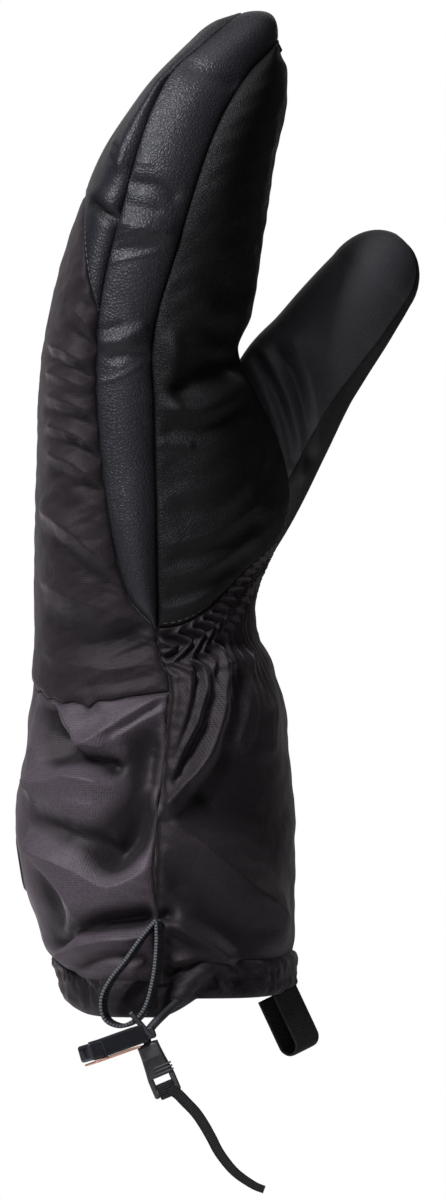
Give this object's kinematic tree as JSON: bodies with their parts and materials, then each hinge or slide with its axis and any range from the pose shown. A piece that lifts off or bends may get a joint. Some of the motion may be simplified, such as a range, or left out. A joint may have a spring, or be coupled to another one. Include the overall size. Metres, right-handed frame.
{
  "type": "heated mitten",
  "caption": "Long-cuffed padded heated mitten for the right hand, leather palm and thumb, nylon back and gauntlet, drawcord hem with lock and pull.",
  "frame": {"origin": "middle of the wrist hollow, where the mitten sits on a worn hand", "axes": "+Z from the wrist to the fingertips, +X out of the palm, +Y towards the thumb side"},
  "size_m": [0.1477, 0.1482, 0.4241],
  "materials": {
    "palm_leather": "black goatskin, fine even grain, satin",
    "strip_leather": "charcoal blue-black leather, pebbled grain, satin",
    "thumb_leather": "black leather, fine grain, soft sheen",
    "ripstop": "warm brown-black coated nylon, fine weave, soft sheen",
    "switch_rubber": "smooth dark rubber dome",
    "webbing": "dark grey ribbed woven tape",
    "tag_webbing": "black flat woven tape, matte",
    "cord": "black braided round cord",
    "lock_plastic": "dark blue-grey moulded plastic, satin",
    "copper_strip": "pale copper-coloured strip, satin",
    "pull_rubber": "mid-grey soft rubber, matte"
  },
  "bodies": {
    "root": {"palm_panel": "palm_leather", "side_strip": "strip_leather", "back_panel": "ripstop", "fingertip_cap": "strip_leather", "thumb_front": "thumb_leather", "thumb_back": "thumb_leather", "gauntlet_palm": "ripstop", "gauntlet_back": "ripstop", "hem_casing": "ripstop", "heater_switch": "switch_rubber", "keeper_loop": "webbing", "hem_cord": "cord", "lock_body": "lock_plastic", "lock_liner": "copper_strip", "cord_pull": "pull_rubber", "tail_band": "webbing", "pull_tail": "webbing", "loop_tag": "tag_webbing"}
  },
  "joints": []
}
